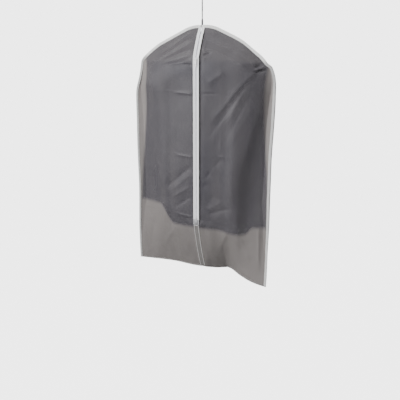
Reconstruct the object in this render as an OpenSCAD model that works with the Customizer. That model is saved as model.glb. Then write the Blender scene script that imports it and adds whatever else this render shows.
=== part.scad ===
// Hanging garment bag: a zipped film bag with bound edges, on a suit hanger with a swivel hook.
// Millimetres. The origin is the point inside the hook that rests on the top of a rail.
// +Z is up, the zip faces -Y and +X is to the right seen from the front; left and right are as seen from there.

/* [Bag] */
// Width of the bag laid flat
bag_w = 600; // [560:10:660]
// Height of the bag laid flat
bag_h = 1000; // [900:50:1300]
// Drop from the rail contact to the top seam
top_drop = 89; // [86:1:110]
// Slope of the shoulder seam, in degrees
shoulder_slope = 24.5; // [22:0.5:28]
// Radius where the shoulder turns into the side
shoulder_r = 220; // [180:10:230]
// Radius each side of the hook
crown_r = 150; // [135:5:165]
// Bulge of the front film in front of the seam
front_depth = 58; // [50:1:70]
// Bulge of the back film behind the seam
back_depth = 54; // [50:1:70]
// Thickness of the film
film_t = 0.2; // [0.15:0.05:0.3]

/* [Trim] */
// Width of the white edge binding
binding_w = 11; // [8:1:14]
// Thickness of the edge binding, folded over both films
binding_t = 1.6; // [1.2:0.1:2]
// Height of the bottom hem
hem_h = 6; // [4:1:10]

/* [Zip] */
// Width over both zip tapes
zip_w = 24; // [24:1:30]
// Width over both coils
coil_w = 6; // [5:0.2:6.2]
// Drop from the top seam to the zip's bottom end
zip_drop = 768; // [700:4:780]
// Length of the pull tab below its pin
tab_l = 26; // [20:1:32]

/* [Hanger] */
// Width of the hanger
hanger_w = 440; // [400:10:450]
// Radius of the hook wire
wire_r = 2.2; // [1.8:0.1:2.4]
// Radius inside the hook
hook_inner_r = 21; // [18:1:24]
// Turn of the hook from square to the bag, in degrees
hook_turn = 22; // [0:1:90]

/* [Hidden] */
$fn = 48;

half_w = bag_w / 2;
seam_y = -4;               // the seam passes just in front of the hook's stem
seam_margin = 10;          // flat film inside the binding
top_ramp = 110;            // the film reaches its full bulge this far past the seam margin
bottom_ramp = 205;         // and this far above the hem

// Outline, as drops below the top seam.
crown_half = 12;           // half of the short flat between the crown's two arcs
crown_x = crown_half + crown_r * sin(shoulder_slope);
crown_d = crown_r * (1 - cos(shoulder_slope));
shoulder_cx = half_w - shoulder_r;
slope_end_x = shoulder_cx + shoulder_r * sin(shoulder_slope);
slope_end_d = crown_d + (slope_end_x - crown_x) * tan(shoulder_slope);
shoulder_cd = slope_end_d + shoulder_r * cos(shoulder_slope);

// Half width of the outline at a drop d below the top seam.
function half_width(d) =
    d < crown_d ? crown_half + sqrt(pow(crown_r, 2) - pow(crown_r - d, 2)) :
    d < slope_end_d ? crown_x + (d - crown_d) / tan(shoulder_slope) :
    d < shoulder_cd ? shoulder_cx + sqrt(pow(shoulder_r, 2) - pow(shoulder_cd - d, 2)) :
    half_w;

// Distance of a point inside the outline from the top and side edges.
function edge_distance(x, d) =
    let (crown_a = atan2(x - crown_half, crown_r - d),
         shoulder_a = atan2(x - shoulder_cx, shoulder_cd - d),
         in_crown = d < crown_r && crown_a > 0 && crown_a < shoulder_slope,
         in_shoulder = d < shoulder_cd && shoulder_a > shoulder_slope && shoulder_a < 90)
    min(d, half_w - x, (d - crown_d - (x - crown_x) * tan(shoulder_slope)) * cos(shoulder_slope),
        in_crown ? crown_r - norm([x - crown_half, crown_r - d]) : bag_h,
        in_shoulder ? shoulder_r - norm([x - shoulder_cx, shoulder_cd - d]) : bag_h);

// Share of the full bulge that the film has gained after t of its ramp.
function ramp(t) = t <= 0 ? 0 : t >= 1 ? 1 : t * (1.25 - 0.25 * t);

// Bulge of the film, from 0 at the seams to 1.
function bulge(x, d) =
    ramp((edge_distance(abs(x), d) - seam_margin) / top_ramp) * ramp((bag_h - hem_h - d) / bottom_ramp);

// Outer faces of the two films, which touch at the seams.
function front_y(x, d) = seam_y - film_t - front_depth * bulge(x, d);
function back_y(x, d) = seam_y + film_t + back_depth * bulge(x, d);

// Drops of the film's rows: close together where it curves.
full_d = seam_margin + top_ramp;
lower_knee_d = bag_h - hem_h - bottom_ramp;
rows = concat([for (i = [0 : 10]) full_d * pow(i / 10, 1.5)],
              [for (i = [1 : 5]) full_d + i * (shoulder_cd - full_d) / 5],
              [for (i = [1 : 5]) shoulder_cd + i * (lower_knee_d - shoulder_cd) / 5],
              [for (i = [1 : 6]) lower_knee_d + i * (bag_h - hem_h - lower_knee_d) / 6],
              [bag_h]);

// ---- film ----

film_edge_x = 9.5;         // inner edge of each front panel, under the zip tape

// A sheet through a grid of outer points [row][column], film_t thick along `inward`.
module film(grid, inward) {
    n = len(grid);
    m = len(grid[0]);
    outer = [for (row = grid) for (p = row) p];
    inner = [for (p = outer) p + [0, inward * film_t, 0]];
    k = n * m;
    function quad(a, b, c, e) = inward > 0 ? [[a, b, c], [a, c, e]] : [[a, c, b], [a, e, c]];
    skin = [for (i = [0 : n - 2]) for (j = [0 : m - 2])
        let (a = i * m + j, b = a + 1, c = b + m, e = a + m)
        each concat(quad(a, b, c, e), quad(a + k, e + k, c + k, b + k))];
    sides = [for (i = [0 : n - 2])
        let (a = i * m, e = a + m, b = a + m - 1, c = b + m)
        each concat(quad(a, e, e + k, a + k), quad(b, b + k, c + k, c))];
    ends = [for (j = [0 : m - 2])
        let (a = j, b = j + 1, c = (n - 1) * m + j, e = c + 1)
        each concat(quad(a, a + k, b + k, b), quad(c, e, e + k, c + k))];
    polyhedron(points = concat(outer, inner), faces = concat(skin, sides, ends));
}

// Columns of a front panel from the zip to the side, closer together near the side.
columns = 8;
function panel_x(d, u, from) = from + (half_width(d) - from) * (1 - pow(1 - u, 1.4));

module front_panel(side) {
    grid = [for (d = rows) [for (j = [0 : columns])
        let (x = panel_x(d, j / columns, film_edge_x))
        [side * x, front_y(x, d), -top_drop - d]]];
    color("gray") film(side > 0 ? grid : [for (row = grid) [for (j = [columns : -1 : 0]) row[j]]], 1);
}

module front_panel_left() front_panel(-1);
module front_panel_right() front_panel(1);

// The back panel has a slot in its top edge, where the hook comes out.
hook_slot_w = 14;
hook_slot_h = 26;
module back_panel() {
    color("gray") difference() {
        film([for (d = rows) [for (j = [-columns : columns])
            let (x = sign(j) * panel_x(d, abs(j) / columns, 0))
            [x, back_y(x, d), -top_drop - d]]], -1);
        translate([-hook_slot_w / 2, seam_y - 5, -top_drop - hook_slot_h])
            cube([hook_slot_w, 30, hook_slot_h + 10]);
    }
}

// ---- strips that follow the front of the bag at its centre ----

// A strip between x0 and x1 and drops d0 and d1, from `off` to `off + t` in front of the film.
module front_strip(x0, x1, d0, d1, off, t) {
    stations = concat([d0], [for (d = rows) if (d > d0 + 0.01 && d < d1 - 0.01) d], [d1]);
    behind = [for (d = stations) [front_y(0, d) - off, -top_drop - d]];
    before = [for (i = [len(stations) - 1 : -1 : 0]) behind[i] - [t, 0]];
    rotate([90, 0, 90]) translate([0, 0, x0]) linear_extrude(x1 - x0) polygon(concat(behind, before));
}

tape_t = 0.5;
tape_gap = 2.4;            // between the tapes' inner edges
facing_w = 5.5;
facing_t = 0.4;
band_half = zip_w / 2 + 0.2;   // the facings cover the tapes' outer edges
coil_t = 1.8;
coil_gap = 1.6;            // the slider's post runs in this gap
band_top = 1;
coil_top = binding_w + 1;

module on_side(side) mirror([side > 0 ? 0 : 1, 0, 0]) children();

module zip_tape(side)
    on_side(side) color("white") front_strip(tape_gap / 2, zip_w / 2, band_top, zip_drop, 0, tape_t);
module zip_facing(side)
    on_side(side) color("white")
        front_strip(band_half - facing_w, band_half, band_top, zip_drop, tape_t, facing_t);
module zip_coil(side)
    on_side(side) color("whitesmoke")
        front_strip(coil_gap / 2, coil_w / 2, coil_top, zip_drop - 4, tape_t, coil_t);

module zip_tape_left() zip_tape(-1);
module zip_tape_right() zip_tape(1);
module zip_facing_left() zip_facing(-1);
module zip_facing_right() zip_facing(1);
module zip_coil_left() zip_coil(-1);
module zip_coil_right() zip_coil(1);

// Moulded end box where the zip stops, and the folded film strip that closes the bag below it.
patch_h = 27;
module zip_end_patch()
    color("lightgray") front_strip(-zip_w / 2, zip_w / 2, zip_drop, zip_drop + patch_h, 0.6, 0.5);
module centre_seam_strip()
    color("silver") front_strip(-zip_w / 2, zip_w / 2, zip_drop, bag_h - hem_h, 0, 0.6);

// Metal stops clamped on the tapes: two above the slider and one across the bottom.
stop_y = seam_y - film_t - front_depth - tape_t;
stop_t = 1.4;
slider_h = 13;
slider_top_drop = 125;     // top of the closed slider, in the straight part of the zip
module zip_top_stops()
    color("lightgray") for (side = [-1, 1])
        on_side(side) translate([coil_w / 2 + 0.1, stop_y - stop_t, -top_drop - slider_top_drop + 1])
            cube([1.2, stop_t, 3]);
module zip_bottom_stop()
    color("lightgray") translate([-coil_w / 2, stop_y - coil_t - stop_t, -top_drop - zip_drop + 5])
        cube([coil_w, stop_t, 4]);

// ---- edge binding and hem ----

// Points along the outline from the hook to the bottom corner, inset by `inset`.
function outline(inset) = concat(
    [[crown_half, -inset]],
    [for (i = [1 : 5]) let (a = shoulder_slope * i / 5)
        [crown_half + (crown_r - inset) * sin(a), -(crown_r - (crown_r - inset) * cos(a))]],
    [for (i = [0 : 14]) let (a = shoulder_slope + (90 - shoulder_slope) * i / 14)
        [shoulder_cx + (shoulder_r - inset) * sin(a), -(shoulder_cd - (shoulder_r - inset) * cos(a))]],
    [[half_w - inset, -bag_h]]);

binding_gap = 3;           // between the two bindings at the hook
module edge_binding(side) {
    outer = concat([[binding_gap / 2, 0]], outline(0));
    inner = concat([[binding_gap / 2, -binding_w]], outline(binding_w));
    on_side(side) color("white")
        translate([0, seam_y + binding_t / 2, -top_drop]) rotate([90, 0, 0]) linear_extrude(binding_t)
            polygon(concat(outer, [for (i = [len(inner) - 1 : -1 : 0]) inner[i]]));
}
module edge_binding_left() edge_binding(-1);
module edge_binding_right() edge_binding(1);

hem_t = 1;
module bottom_hem()
    color("silver") translate([-half_w + binding_w, seam_y - hem_t / 2, -top_drop - bag_h])
        cube([bag_w - 2 * binding_w, hem_t, hem_h]);

// ---- zip slider ----

slider_w = 10;
plate_t = 1.4;
chain_front = stop_y - coil_t - 0.3;          // clear of the coils
tape_front = stop_y - 0.3;
tape_back = stop_y + tape_t + 0.4;
slider_z = -top_drop - slider_top_drop - slider_h;
pin_z = slider_z + slider_h - 4.5;
pin_r = 0.7;
pin_y = chain_front - plate_t - 1.8;
lug_t = 1;
lug_x = 2.5;

module zip_slider() {
    color("whitesmoke") {
        // front plate, back plate and the post between the coils
        translate([-slider_w / 2, chain_front - plate_t, slider_z]) cube([slider_w, plate_t, slider_h]);
        translate([-slider_w / 2, tape_back, slider_z]) cube([slider_w, 1, slider_h]);
        translate([-0.45, chain_front, slider_z + slider_h - 5]) cube([0.9, tape_back - chain_front, 5]);
        // flanges beside the coils
        for (side = [-1, 1]) on_side(side)
            translate([coil_w / 2 + 0.5, chain_front, slider_z])
                cube([slider_w / 2 - coil_w / 2 - 0.5, tape_front - chain_front, slider_h]);
        // lugs and pin for the pull tab
        for (side = [-1, 1]) on_side(side) {
            translate([lug_x, pin_y, pin_z]) rotate([0, 90, 0]) cylinder(r = 1.7, h = lug_t);
            translate([lug_x, pin_y, pin_z - 1.7]) cube([lug_t, chain_front - plate_t - pin_y, 3.4]);
        }
        translate([-lug_x, pin_y, pin_z]) rotate([0, 90, 0]) cylinder(r = pin_r, h = 2 * lug_x);
    }
}

eye_w = 4.4;
tab_w = 7;
tab_t = 1.1;
module zip_pull_tab() {
    color("whitesmoke") difference() {
        union() {
            translate([-eye_w / 2, pin_y, pin_z]) rotate([0, 90, 0]) cylinder(r = 1.4, h = eye_w);
            translate([-eye_w / 2, pin_y - tab_t / 2, pin_z - 6]) cube([eye_w, tab_t, 6]);
            translate([-tab_w / 2, pin_y - tab_t / 2, pin_z - tab_l + tab_w / 2])
                cube([tab_w, tab_t, tab_l - tab_w / 2 - 5]);
            translate([0, pin_y + tab_t / 2, pin_z - tab_l + tab_w / 2])
                rotate([90, 0, 0]) cylinder(r = tab_w / 2, h = tab_t);
        }
        translate([-tab_w, pin_y, pin_z]) rotate([0, 90, 0]) cylinder(r = pin_r + 0.06, h = 2 * tab_w);
        translate([0, pin_y + tab_t, pin_z - tab_l + tab_w / 2]) rotate([90, 0, 0]) cylinder(r = 1.6, h = 3);
    }
}

// ---- hanger ----

ferrule_top = -125;
ferrule_h = 16;
neck_top = ferrule_top - ferrule_h;
stem_foot = neck_top + 3;
head_r = 3.2;
head_h = 3.4;

// A rounded cross-section of an arm: centre [x, y, z], half thickness and half height.
module arm_section(centre, half_t, half_h)
    translate(centre) rotate([0, 90, 0]) scale([half_h, half_t, 1]) cylinder(r = 1, h = 2, center = true, $fn = 32);

module hanger_arm(side) {
    tip_x = hanger_w / 2;
    on_side(side) color("silver") {
        hull() {
            translate([0, -8, neck_top - 34]) cube([12, 16, 34]);
            arm_section([30, 0, neck_top - 22], 8.5, 13);
        }
        hull() {
            arm_section([30, 0, neck_top - 22], 8.5, 13);
            arm_section([110, -1, neck_top - 54], 9.5, 12);
        }
        hull() {
            arm_section([110, -1, neck_top - 54], 9.5, 12);
            arm_section([175, -5, neck_top - 88], 15, 12);
        }
        hull() {
            arm_section([175, -5, neck_top - 88], 15, 12);
            arm_section([tip_x - 14, -8, neck_top - 113], 21, 12);
            arm_section([tip_x - 1, -9, neck_top - 122], 15, 7);
        }
    }
}
module hanger_arm_left() hanger_arm(-1);
module hanger_arm_right() hanger_arm(1);

// Ferrule on the hanger's neck: it holds the head of the hook, which turns freely in it.
module hanger_ferrule() {
    bore = wire_r + 0.06;
    color("silver") rotate_extrude()
        polygon([[0, neck_top], [6.5, neck_top], [6.5, neck_top + 9], [4.6, ferrule_top], [bore, ferrule_top],
                 [bore, stem_foot + head_h + 0.05], [head_r + 0.4, stem_foot + head_h + 0.05],
                 [head_r + 0.4, stem_foot - 0.5], [0, stem_foot - 0.5]]);
}

// ---- hook ----

hook_r = hook_inner_r + wire_r;
bend_r = 10;
straight_l = (hook_r * cos(45) - bend_r * (1 - cos(45))) / sin(45);
straight_top = [-hook_r * cos(45), 0, -hook_inner_r - hook_r * sin(45)];
stem_top = straight_top[2] - (straight_l + bend_r) * sin(45);
blend = 0.2;               // the wire's runs stop this far short of the small blend between them

// An arc of wire in the X-Z plane, from angle a0 up to a1.
module wire_arc(r, a0, a1)
    rotate([0, -a0, 0]) rotate([90, 0, 0]) rotate_extrude(angle = a1 - a0) translate([r, 0]) circle(r = wire_r);
module wire_blend(at) translate(at) sphere(r = wire_r + 0.05);

module hook() {
    arc_trim = blend / hook_r * 180 / PI;
    bend_trim = blend / bend_r * 180 / PI;
    color("darkgray") rotate([0, 0, 90 + hook_turn]) {
        translate([0, 0, -hook_inner_r]) wire_arc(hook_r, -30, 225 - arc_trim);
        translate([hook_r * cos(30), 0, -hook_inner_r - hook_r * sin(30)]) sphere(r = wire_r + 0.7);
        wire_blend(straight_top);
        translate(straight_top) rotate([0, 135, 0]) translate([0, 0, blend])
            cylinder(r = wire_r, h = straight_l - 2 * blend);
        wire_blend([-bend_r * (1 - cos(45)), 0, stem_top + bend_r * sin(45)]);
        translate([-bend_r, 0, stem_top]) wire_arc(bend_r, bend_trim, 45 - bend_trim);
        wire_blend([0, 0, stem_top]);
        translate([0, 0, stem_foot + 1]) cylinder(r = wire_r, h = stem_top - blend - stem_foot - 1);
        translate([0, 0, stem_foot]) cylinder(r = head_r, h = head_h);
    }
}

// Dark sleeve pushed on the stem just above the bag.
sleeve_h = 20;
sleeve_r = 3.6;
module hook_sleeve() {
    color("black") translate([0, 0, -top_drop + 0.5]) difference() {
        cylinder(r = sleeve_r, h = sleeve_h);
        translate([0, 0, -1]) cylinder(r = wire_r, h = sleeve_h + 2);
    }
}

front_panel_left();
front_panel_right();
back_panel();
centre_seam_strip();
zip_end_patch();
edge_binding_left();
edge_binding_right();
bottom_hem();
zip_tape_left();
zip_tape_right();
zip_facing_left();
zip_facing_right();
zip_coil_left();
zip_coil_right();
zip_top_stops();
zip_bottom_stop();
zip_slider();
zip_pull_tab();
hanger_arm_left();
hanger_arm_right();
hanger_ferrule();
hook();
hook_sleeve();
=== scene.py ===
"""Looks of a hanging garment bag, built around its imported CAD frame.

Everything is in metres in the CAD's frame: +Z up, the zip faces -Y, and the origin is where the hook rests on
the rail.
A "drop" is a distance below the bag's top seam.
"""

import math

import bmesh
import bpy
import numpy as np
from mathutils import Euler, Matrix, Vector, noise


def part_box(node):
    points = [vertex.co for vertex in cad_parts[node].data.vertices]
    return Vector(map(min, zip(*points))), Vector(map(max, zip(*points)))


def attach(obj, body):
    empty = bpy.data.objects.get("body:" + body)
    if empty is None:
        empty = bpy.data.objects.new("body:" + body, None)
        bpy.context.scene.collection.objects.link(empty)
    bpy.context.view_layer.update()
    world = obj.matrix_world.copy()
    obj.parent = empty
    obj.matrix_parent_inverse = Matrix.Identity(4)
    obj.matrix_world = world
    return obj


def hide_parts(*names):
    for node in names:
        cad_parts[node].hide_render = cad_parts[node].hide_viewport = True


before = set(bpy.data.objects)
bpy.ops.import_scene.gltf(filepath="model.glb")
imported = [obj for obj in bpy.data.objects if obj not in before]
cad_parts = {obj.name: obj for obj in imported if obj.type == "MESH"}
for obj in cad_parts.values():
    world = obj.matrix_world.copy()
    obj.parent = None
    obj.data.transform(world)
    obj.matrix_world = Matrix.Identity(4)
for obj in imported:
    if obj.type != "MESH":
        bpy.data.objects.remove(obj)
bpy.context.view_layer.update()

BAG = "bag"
MM = 0.001
SIDES = ((-1, "left"), (1, "right"))

# ---- sizes that come from the frame ----

back_low, back_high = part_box("back_panel")
front_low, front_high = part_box("front_panel_left")
TOP = back_high[2]
HEM = back_low[2]
HEIGHT = TOP - HEM
HALF_W = back_high[0]
SEAM_Y = front_high[1]
FRONT_DEPTH = SEAM_Y - front_low[1]
BACK_DEPTH = back_high[1] - SEAM_Y
ZIP_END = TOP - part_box("zip_tape_right")[0][2]
HEM_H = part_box("bottom_hem")[1][2] - HEM

# ---- sizes of the cut, as in the CAD ----

CROWN_HALF = 12 * MM  # half of the short flat between the crown's two arcs
CROWN_R = 150 * MM
SLOPE = math.radians(24.5)
SHOULDER_R = 220 * MM
SEAM_MARGIN = 10 * MM
TOP_RAMP = 110 * MM  # the film reaches its full bulge this far below the top seam
BOTTOM_RAMP = 205 * MM  # and this far above the hem
FILM_T = 0.2 * MM
BINDING_W = 11 * MM
BAND_HALF = 12.2 * MM  # half the width of the zip band

crown_x = CROWN_HALF + CROWN_R * math.sin(SLOPE)
crown_drop = CROWN_R * (1 - math.cos(SLOPE))
shoulder_x = HALF_W - SHOULDER_R
slope_end_x = shoulder_x + SHOULDER_R * math.sin(SLOPE)
slope_end_drop = crown_drop + (slope_end_x - crown_x) * math.tan(SLOPE)
shoulder_drop = slope_end_drop + SHOULDER_R * math.cos(SLOPE)


# ---- small tools ----


def smooth(t):
    """0 below 0, 1 above 1, and a smooth rise between them."""
    t = np.clip(t, 0, 1)
    return t * t * (3 - 2 * t)


def step(t, start, end):
    """0 before start, 1 after end, and a smooth rise between them."""
    return smooth((t - start) / (end - start))


def hump(t, middle, half_width):
    """1 at the middle, and falling off smoothly to both sides."""
    return np.exp(-(((t - middle) / half_width) ** 2))


def curve_through(knots, x):
    """A smooth curve through (x, y) knots, in x order."""
    kx, ky = np.array(knots, float).T
    slope = np.gradient(ky, kx)
    i = np.clip(np.searchsorted(kx, x) - 1, 0, len(kx) - 2)
    h = kx[i + 1] - kx[i]
    t = np.clip((x - kx[i]) / h, 0, 1)
    return (
        (1 + 2 * t) * (1 - t) ** 2 * ky[i]
        + t * (1 - t) ** 2 * h * slope[i]
        + t * t * (3 - 2 * t) * ky[i + 1]
        + t * t * (t - 1) * h * slope[i + 1]
    )


def noise_at(points, scale, seed=0.0):
    """Smooth noise from -1 to 1 at each point, over lengths of about 1 / scale."""
    shift = Vector((seed, seed * 1.7, seed * 0.3))
    return np.array([noise.noise(Vector(p) * scale + shift) for p in points])


def unit(v):
    return v / np.linalg.norm(v, axis=-1, keepdims=True)


def tangents(points):
    return unit(np.gradient(points, axis=0))


def distances(line):
    """How far along the line each of its points lies."""
    steps = np.linalg.norm(np.diff(line, axis=0), axis=1)
    return np.concatenate([[0], np.cumsum(steps)])


def sampled(rows, along, at):
    """Rows of three numbers, known at the distances along, read off at other distances."""
    return np.stack([np.interp(at, along, rows[:, k]) for k in range(3)], axis=1)


def resample(points, spacing):
    """The same line with its points evenly spaced, about spacing apart."""
    along = distances(points)
    at = np.linspace(0, along[-1], max(2, int(round(along[-1] / spacing)) + 1))
    return sampled(points, along, at)


def repeated(direction, line):
    """The same direction at every point of a line."""
    return np.repeat([direction], len(line), axis=0)


def mesh_object(name, points, faces):
    mesh = bpy.data.meshes.new(name)
    mesh.from_pydata([tuple(p) for p in points], [], faces)
    mesh.validate()
    mesh.update()
    mesh.polygons.foreach_set("use_smooth", [True] * len(mesh.polygons))
    obj = bpy.data.objects.new(name, mesh)
    bpy.context.scene.collection.objects.link(obj)
    return obj


def sweep(name, line, across, depth, section):
    """A closed bar along line.

    section is [point][corner][(across, depth)], or one section for all points.
    """
    section = np.array(section, float)
    if section.ndim == 2:
        section = np.repeat(section[None], len(line), axis=0)
    n, m = section.shape[:2]
    points = line[:, None] + section[..., :1] * across[:, None] + section[..., 1:] * depth[:, None]
    faces = [
        (i * m + j, i * m + (j + 1) % m, (i + 1) * m + (j + 1) % m, (i + 1) * m + j)
        for i in range(n - 1)
        for j in range(m)
    ]
    faces += [tuple(range(m))[::-1], tuple((n - 1) * m + j for j in range(m))]
    return mesh_object(name, points.reshape(-1, 3), faces)


def flat_section(a0, a1, b0, b1, crown=0.0, corners=7):
    """A thin strip's section from a0 to a1 across and b0 to b1 deep, whose b1 face swells by crown."""
    a = np.linspace(0, 1, corners)
    upper = [(a0 + (a1 - a0) * t, b1 + crown * math.sin(math.pi * t)) for t in a]
    return [(a0, b0), *upper, (a1, b0)]


def round_section(across, deep, corners):
    """An oval section with the two given radii."""
    turns = np.arange(corners) * math.tau / corners
    return [(across * math.cos(turn), deep * math.sin(turn)) for turn in turns]


# Rings of a stitch: place as a share of its length, size and lift as shares of its radius.
STITCH_RINGS = [(-0.5, 0.35, -0.9), (-0.3, 0.95, -0.1), (0.3, 0.95, -0.1), (0.5, 0.35, -0.9)]
STITCH_CORNERS = 6


def stitch_row(line, out, pitch, length, radius):
    """Points and faces of a row of stitches along line, which bulge towards out."""
    along = distances(line)
    at = np.arange(pitch / 2, along[-1] - pitch / 2, pitch)
    centre = sampled(line, along, at)
    ahead = unit(sampled(tangents(line), along, at))
    up = unit(sampled(out, along, at))
    side = unit(np.cross(ahead, up))
    section = round_section(1, 1, STITCH_CORNERS)
    last = STITCH_CORNERS * (len(STITCH_RINGS) - 1)
    points, faces = [], []
    for c, a, u, s in zip(centre, ahead, up, side):
        base = len(points)
        for share, width, lift in STITCH_RINGS:
            middle = c + a * share * length + u * lift * radius
            points += [middle + radius * width * (p * s + q * u) for p, q in section]
        for ring in range(base, base + last, STITCH_CORNERS):
            for k in range(STITCH_CORNERS):
                p, q = ring + k, ring + (k + 1) % STITCH_CORNERS
                faces.append((p, q, q + STITCH_CORNERS, p + STITCH_CORNERS))
        faces.append(tuple(base + k for k in range(STITCH_CORNERS))[::-1])
        faces.append(tuple(base + last + k for k in range(STITCH_CORNERS)))
    return points, faces


def joined(name, parts):
    """One object from several (points, faces) lists."""
    points, faces = [], []
    for part_points, part_faces in parts:
        shift = len(points)
        points += list(part_points)
        faces += [tuple(i + shift for i in f) for f in part_faces]
    return mesh_object(name, points, faces)


def apply_modifiers(obj):
    bpy.context.view_layer.update()
    evaluated = obj.evaluated_get(bpy.context.evaluated_depsgraph_get())
    mesh = bpy.data.meshes.new_from_object(evaluated)
    obj.modifiers.clear()
    obj.data = mesh


def thicken(obj, thickness):
    """Gives a sheet its thickness, half of it to each side."""
    solid = obj.modifiers.new("thickness", "SOLIDIFY")
    solid.thickness = thickness
    solid.offset = 0
    apply_modifiers(obj)


def point_value(obj, name, values):
    """Stores a number for each mesh point, or one for all of them, which the material reads by name."""
    data = obj.data.attributes.new(name, "FLOAT", "POINT").data
    data.foreach_set("value", np.broadcast_to(values, len(data)).astype(np.float32))


def piece(obj, material, replaces=(), body=BAG):
    """Gives obj its material, hangs it on a CAD body, and hides the CAD parts it replaces."""
    obj.data.materials.clear()
    obj.data.materials.append(material)
    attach(obj, body)
    if replaces:
        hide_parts(*replaces)
    return obj


# ---- materials ----


class Paint:
    """A material's node tree, with short ways to add and join nodes."""

    def __init__(self, name, roughness, metallic=0.0, alpha=1.0, specular=0.5, sheen=0.0, coat=0.0):
        self.material = bpy.data.materials.new(name)
        self.material.use_nodes = True
        self.nodes = self.material.node_tree.nodes
        self.links = self.material.node_tree.links
        self.shader = self.nodes["Principled BSDF"]
        for socket, value in (
            ("Roughness", roughness),
            ("Metallic", metallic),
            ("Alpha", alpha),
            ("Specular IOR Level", specular),
            ("Sheen Weight", sheen),
            ("Coat Weight", coat),
        ):
            self.shader.inputs[socket].default_value = value
        self.place = self.add("ShaderNodeTexCoord").outputs["Object"]
        self.height = None

    def add(self, kind, inputs=(), **settings):
        made = self.nodes.new(kind)
        for key, value in settings.items():
            setattr(made, key, value)
        for key, value in dict(inputs).items():
            self.feed(made.inputs[key], value)
        return made

    def feed(self, socket, value):
        """Links another node's socket to this one, or gives it a plain value."""
        if isinstance(value, bpy.types.NodeSocket):
            self.links.new(value, socket)
        else:
            socket.default_value = (*value, 1) if socket.type == "RGBA" else value

    def noise(self, scale, detail=3.0, stretch=(1, 1, 1), roughness=0.5):
        """Noise from 0 to 1, in cycles per metre, with the place stretched first."""
        place = self.add("ShaderNodeMapping", {"Vector": self.place, "Scale": stretch}).outputs[0]
        inputs = {"Vector": place, "Scale": scale, "Detail": detail, "Roughness": roughness}
        return self.add("ShaderNodeTexNoise", inputs).outputs["Fac"]

    def wave(self, period, axis, turn, distortion):
        """Parallel ribs a period apart, in metres."""
        place = self.add("ShaderNodeMapping", {"Vector": self.place, "Rotation": turn}).outputs[0]
        scale = math.tau / 20 / period  # at scale 1 the node repeats every tau / 20
        inputs = {"Vector": place, "Scale": scale, "Distortion": distortion, "Detail Scale": 1.5}
        return self.add("ShaderNodeTexWave", inputs, bands_direction=axis).outputs["Fac"]

    def cells(self, size):
        inputs = {"Vector": self.place, "Scale": 1 / size}
        return self.add("ShaderNodeTexVoronoi", inputs).outputs["Distance"]

    def math(self, operation, a, b, clamp=False):
        made = self.add("ShaderNodeMath", {0: a, 1: b}, operation=operation, use_clamp=clamp)
        return made.outputs[0]

    def ramp(self, value, low, high):
        """value from low to high, stretched to 0 to 1."""
        inputs = {"Value": value, "From Min": low, "From Max": high}
        return self.add("ShaderNodeMapRange", inputs).outputs[0]

    def mix(self, share, a, b):
        """Colour a turned into b by a share. The node's sockets 6 and 7 are its colours."""
        return self.add("ShaderNodeMix", {0: share, 6: a, 7: b}, data_type="RGBA").outputs[2]

    def attribute(self, name):
        return self.add("ShaderNodeAttribute", attribute_name=name).outputs["Fac"]

    def colour(self, value):
        self.feed(self.shader.inputs["Base Color"], value)

    def vary(self, socket, value, low, high):
        """Drives a socket between low and high by a 0 to 1 value."""
        spread = self.add("ShaderNodeMapRange", {"Value": value, "To Min": low, "To Max": high}).outputs[0]
        self.links.new(spread, self.shader.inputs[socket])

    def bump(self, height, distance, strength):
        """Adds relief of about distance metres on top of what is there."""
        made = self.add("ShaderNodeBump", {"Height": height, "Distance": distance, "Strength": strength})
        if self.height is not None:
            self.links.new(self.height, made.inputs["Normal"])
        self.height = made.outputs[0]
        self.links.new(self.height, self.shader.inputs["Normal"])


SEAM_LIGHT_GAIN = 1.75  # how much lighter than below the garment the film is painted along its side seams, as light shining through the two films there
TAPE_SHADE_TONE = 0.3  # tone of a tape's painted shade, as a share of its light tone


def film_paint(name, light, dark, alpha):
    """Frosted smoky film, with painted light and shade.

    The point value "pale" is 0 where the film is painted darkest, as shade of the bag's inside and of the
    dark garment behind it, 0.5 where it has nothing behind it and painted light comes through it, and more
    along the side seams, where painted light shines through both films.
    """
    paint = Paint(name, roughness=0.52, alpha=alpha, specular=0.3)
    cloudy = paint.ramp(paint.noise(9, 2, (1, 1, 0.5)), 0.3, 0.7)
    streaks = paint.ramp(paint.noise(24, 1, (1, 1, 0.12)), 0.35, 0.65)
    spotted = paint.math("MULTIPLY", cloudy, streaks)
    pale = paint.attribute("pale")
    # Painted shade in the middle, where the garment and the bag's inside lie behind the film, and painted
    # light along the seams.
    middle = paint.mix(paint.math("MULTIPLY", pale, 2.0, clamp=True), dark, light)
    edge = tuple(SEAM_LIGHT_GAIN * c for c in light)
    tone = paint.mix(paint.ramp(pale, 0.5, 1.0), middle, edge)
    paint.colour(paint.mix(paint.math("MULTIPLY", spotted, 0.12), tone, light))
    paint.vary("Roughness", streaks, 0.48, 0.58)
    paint.bump(paint.noise(20, 1, (1, 1, 0.4)), 1.0 * MM, 0.35)
    paint.bump(paint.cells(1.3 * MM), 0.01 * MM, 0.1)
    return paint.material


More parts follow.
